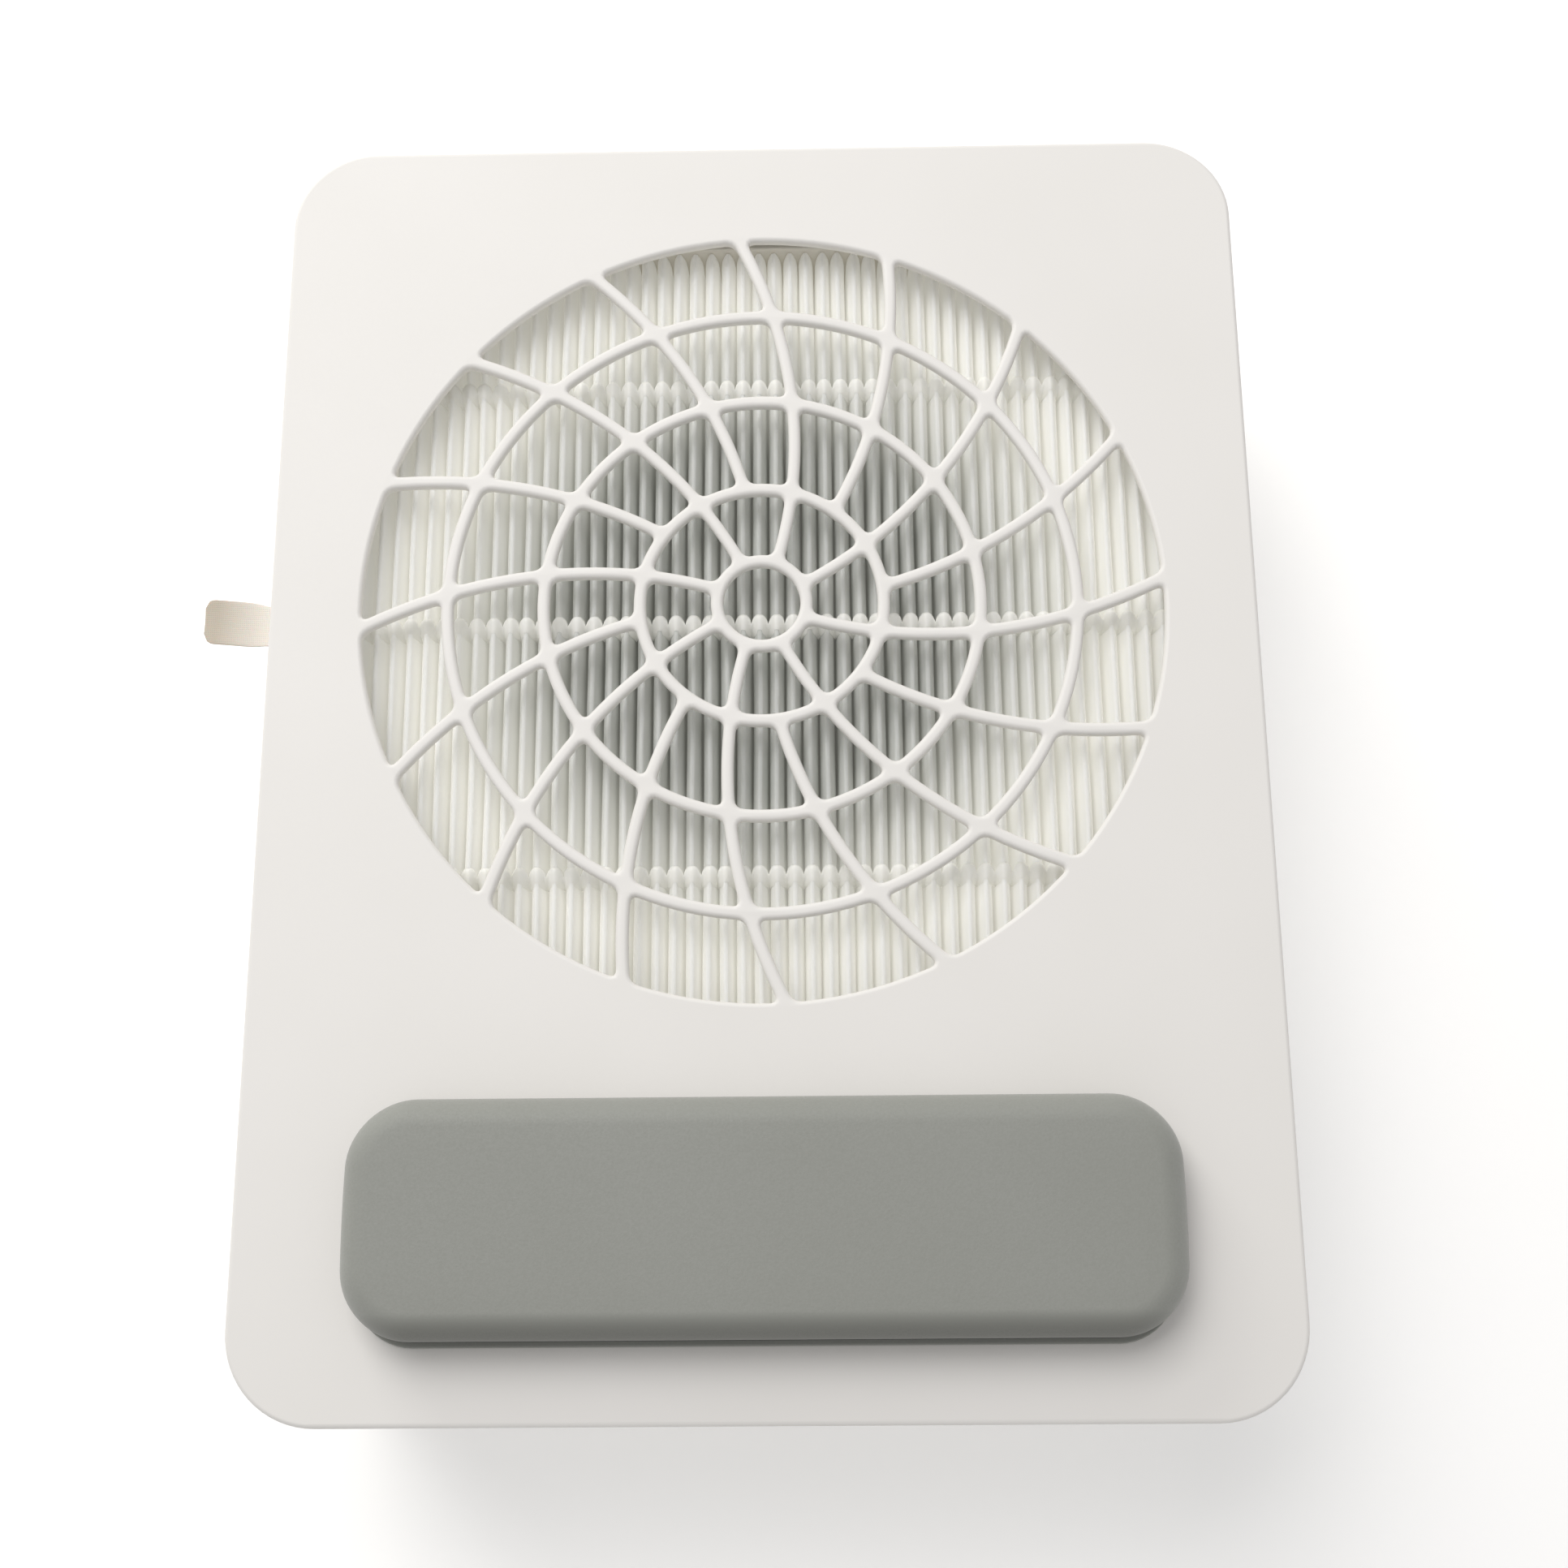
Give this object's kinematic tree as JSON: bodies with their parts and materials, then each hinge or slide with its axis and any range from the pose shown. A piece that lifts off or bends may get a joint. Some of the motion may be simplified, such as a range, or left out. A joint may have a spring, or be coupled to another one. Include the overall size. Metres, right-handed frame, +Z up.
{
  "type": "nail dust collector",
  "caption": "Desktop nail dust collector: flat top plate with a round spiral intake grille and a padded wrist rest over a case with a slide-out pleated filter and a fan.",
  "frame": {"origin": "centre of the base cover's flat underside; the rubber feet stand 3 mm lower", "axes": "+Z up, +Y away from the user towards the exhaust, +X to the right; the wrist rest is at -Y and the filter pulls out towards -X"},
  "size_m": [0.2665, 0.315, 0.1122],
  "materials": {
    "white_plastic": "fine satin moulded ABS",
    "wrist_foam": "soft-touch moulded polyurethane",
    "dark_plastic": "satin moulded",
    "filter_paper": "pleated glass-fibre paper",
    "hot_melt": "translucent hot-melt glue",
    "strap": "translucent ivory ribbon",
    "rubber": "matt moulded rubber",
    "steel": "zinc plated",
    "circuit_board": "green solder mask",
    "wire_cover": "smooth PVC insulation"
  },
  "bodies": {
    "case": {"base_cover": "white_plastic", "case_shell": "white_plastic", "filter_deck": "white_plastic", "inlet_ring": "white_plastic", "fan_housing": "dark_plastic", "finger_guard": "dark_plastic", "exhaust_grille": "dark_plastic", "speed_control": "dark_plastic", "switch_housing": "dark_plastic", "power_jack": "dark_plastic", "foot_front_left": "rubber", "foot_front_right": "rubber", "foot_rear_left": "rubber", "foot_rear_right": "rubber", "housing_seal": "rubber", "fan_grommet_1": "rubber", "fan_grommet_2": "rubber", "fan_grommet_3": "rubber", "case_screw_front_left": "steel", "case_screw_front_right": "steel", "case_screw_rear_left": "steel", "case_screw_rear_right": "steel", "post_keeper_front_left": "steel", "post_keeper_front_right": "steel", "post_keeper_rear_left": "steel", "post_keeper_rear_right": "steel", "fan_screw_1": "steel", "fan_screw_2": "steel", "fan_screw_3": "steel", "motor": "steel", "jack_nut": "steel", "circuit_board": "circuit_board", "jack_lead": "wire_cover", "switch_lead": "wire_cover", "motor_lead": "wire_cover"},
    "plate": {"top_plate": "white_plastic", "plate_magnet_front_left": "steel", "plate_magnet_front_right": "steel", "plate_magnet_rear_left": "steel", "plate_magnet_rear_right": "steel"},
    "wrist_rest": {"wrist_rest_cushion": "wrist_foam", "wrist_rest_board": "dark_plastic", "wrist_peg_left": "dark_plastic", "wrist_peg_right": "dark_plastic"},
    "filter": {"filter_frame": "white_plastic", "filter_pleats": "filter_paper", "glue_bead_front": "hot_melt", "glue_bead_middle": "hot_melt", "glue_bead_rear": "hot_melt", "pull_tab": "strap"},
    "fan": {"impeller": "white_plastic", "motor_shaft": "steel", "impeller_nut": "steel"},
    "speed_dial": {"speed_knob": "dark_plastic", "control_shaft": "steel"},
    "power_switch": {"power_rocker": "dark_plastic"}
  },
  "joints": [
    {"name": "plate_lift", "type": "slide", "parent": "case", "child": "plate", "axis": [0, 0, 1], "range_m": [0, 0.06]},
    {"name": "wrist_rest_lift", "type": "slide", "parent": "plate", "child": "wrist_rest", "axis": [0, 0, 1], "range_m": [0, 0.03]},
    {"name": "filter_pull", "type": "slide", "parent": "case", "child": "filter", "axis": [-1, 0, 0], "range_m": [0, 0.2]},
    {"name": "fan_spin", "type": "hinge", "parent": "case", "child": "fan", "pos_m": [0, 0.0329, 0.03], "axis": [0, 0, 1], "continuous": true},
    {"name": "speed_turn", "type": "hinge", "parent": "case", "child": "speed_dial", "pos_m": [0.1215, -0.092, 0.034], "axis": [1, 0, 0], "range_deg": [0, 280]},
    {"name": "power_rock", "type": "hinge", "parent": "case", "child": "power_switch", "pos_m": [0.114, -0.124, 0.034], "axis": [0, -1, 0], "range_deg": [0, 16]}
  ]
}
